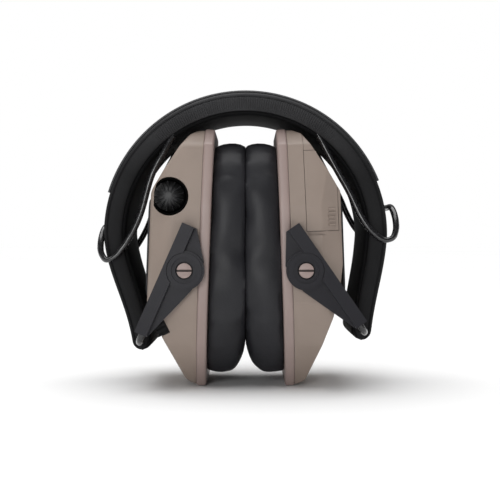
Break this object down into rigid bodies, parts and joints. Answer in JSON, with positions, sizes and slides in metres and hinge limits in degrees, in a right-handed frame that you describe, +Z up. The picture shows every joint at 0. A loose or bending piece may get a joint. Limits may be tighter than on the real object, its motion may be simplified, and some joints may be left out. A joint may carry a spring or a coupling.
{
  "type": "folding electronic earmuff",
  "caption": "Folding earmuff: two cushioned cups under a padded spring headband, with wire forks, sliding arms, a volume knob and a battery door.",
  "frame": {"origin": "middle of the underside of the folded earmuff, level with the feet of the two cups", "axes": "+Z up through the headband's crown, +X from the cup with the volume knob to the cup with the battery door, -Y towards the face with the knob and the door"},
  "size_m": [0.1342, 0.0904, 0.1327],
  "materials": {
    "tan_shell": "satin moulded, slightly pink brown",
    "band_leather": "smooth synthetic leather, satin",
    "cushion_leather": "soft synthetic leather, satin",
    "black_panel": "matt",
    "arm_plastic": "fine moulded texture",
    "spring_steel": "black, satin",
    "knob_rubber": "matt",
    "foam": "open foam",
    "bare_steel": "plain",
    "circuit": "solder mask",
    "cell_jacket": "printed film without lettering"
  },
  "bodies": {
    "crown": {"headband_crown_pad": "band_leather", "headband_crown_panel": "black_panel", "crown_front_spring_wire": "spring_steel", "crown_rear_spring_wire": "spring_steel"},
    "left_band": {"left_headband_pad": "band_leather", "left_headband_panel": "black_panel", "left_spring_wire": "spring_steel", "left_hinge_barrel": "arm_plastic", "left_front_strap_rivet": "spring_steel", "left_rear_strap_rivet": "spring_steel"},
    "left_fork": {"left_fork_wire": "spring_steel"},
    "left_arms": {"left_front_arm": "arm_plastic", "left_rear_arm": "arm_plastic"},
    "left_cup": {"left_cup_shell": "tan_shell", "left_seal_plate": "tan_shell", "left_ear_cushion": "cushion_leather", "left_foam_liner": "foam", "left_speaker": "bare_steel", "left_speaker_grille": "arm_plastic", "left_circuit_board": "circuit", "left_outer_overlay": "black_panel", "left_microphone_grille": "foam", "left_front_pivot_post": "tan_shell", "left_rear_pivot_post": "tan_shell", "left_volume_potentiometer": "bare_steel", "left_audio_jack_socket": "arm_plastic"},
    "right_band": {"right_headband_pad": "band_leather", "right_headband_panel": "black_panel", "right_spring_wire": "spring_steel", "right_hinge_barrel": "arm_plastic", "right_front_strap_rivet": "spring_steel", "right_rear_strap_rivet": "spring_steel"},
    "right_fork": {"right_fork_wire": "spring_steel"},
    "right_arms": {"right_front_arm": "arm_plastic", "right_rear_arm": "arm_plastic"},
    "right_cup": {"right_cup_shell": "tan_shell", "right_seal_plate": "tan_shell", "right_ear_cushion": "cushion_leather", "right_foam_liner": "foam", "right_speaker": "bare_steel", "right_speaker_grille": "arm_plastic", "right_circuit_board": "circuit", "right_outer_overlay": "black_panel", "right_microphone_grille": "foam", "right_front_pivot_post": "tan_shell", "right_rear_pivot_post": "tan_shell", "right_battery_door_pin": "bare_steel", "right_battery_cell_front": "cell_jacket", "right_battery_cell_rear": "cell_jacket", "right_battery_holder": "arm_plastic", "right_battery_contact": "bare_steel"},
    "volume_knob": {"left_volume_knob": "knob_rubber"},
    "jack_cover": {"left_audio_jack_cover": "knob_rubber"},
    "battery_door": {"right_battery_door": "tan_shell"}
  },
  "joints": [
    {"name": "left_fold", "type": "hinge", "parent": "left_band", "child": "left_fork", "pos_m": [-0.04742, 0, 0.02084], "axis": [0, 1, 0], "range_deg": [0, 80]},
    {"name": "left_band_flex", "type": "hinge", "parent": "crown", "child": "left_band", "pos_m": [-0.01528, 0, 0.13151], "axis": [0, 1, 0], "range_deg": [0, 38.5]},
    {"name": "left_arm_slide", "type": "slide", "parent": "left_fork", "child": "left_arms", "axis": [0.4019, 0, 0.9157], "range_m": [0, 0.01605]},
    {"name": "left_cup_pivot", "type": "hinge", "parent": "left_arms", "child": "left_cup", "pos_m": [-0.02728, 0, 0.05241], "axis": [0, 1, 0], "range_deg": [-118.5, 0]},
    {"name": "right_fold", "type": "hinge", "parent": "right_band", "child": "right_fork", "pos_m": [0.05051, 0, 0.02526], "axis": [0, -1, 0], "range_deg": [0, 72]},
    {"name": "right_band_flex", "type": "hinge", "parent": "crown", "child": "right_band", "pos_m": [0.01272, 0, 0.13151], "axis": [0, -1, 0], "range_deg": [0, 34.66]},
    {"name": "right_arm_slide", "type": "slide", "parent": "right_fork", "child": "right_arms", "axis": [-0.5693, 0, 0.8221], "range_m": [0, 0.01605]},
    {"name": "right_cup_pivot", "type": "hinge", "parent": "right_arms", "child": "right_cup", "pos_m": [0.02472, 0, 0.05241], "axis": [0, -1, 0], "range_deg": [-106.66, 0]},
    {"name": "volume_turn", "type": "hinge", "parent": "left_cup", "child": "volume_knob", "pos_m": [-0.03431, -0.036, 0.08449], "axis": [0, 1, 0], "range_deg": [0, 270]},
    {"name": "jack_cover_pull", "type": "slide", "parent": "left_cup", "child": "jack_cover", "axis": [-0.8998, 0, -0.4363], "range_m": [0, 0.002]},
    {"name": "battery_door_swing", "type": "hinge", "parent": "right_cup", "child": "battery_door", "pos_m": [0.02786, -0.0342, 0.10315], "axis": [0.9993, 0, 0.0366], "range_deg": [-95, 0]}
  ],
  "couplings": [
    {"joint": "left_band_flex", "follows": "left_fold", "ratio": 0.48},
    {"joint": "left_arm_slide", "follows": "left_fold", "m_per_rad": 0.011459},
    {"joint": "left_cup_pivot", "follows": "left_fold", "ratio": -1.48},
    {"joint": "right_band_flex", "follows": "right_fold", "ratio": 0.48},
    {"joint": "right_arm_slide", "follows": "right_fold", "m_per_rad": 0.012732},
    {"joint": "right_cup_pivot", "follows": "right_fold", "ratio": -1.48}
  ]
}
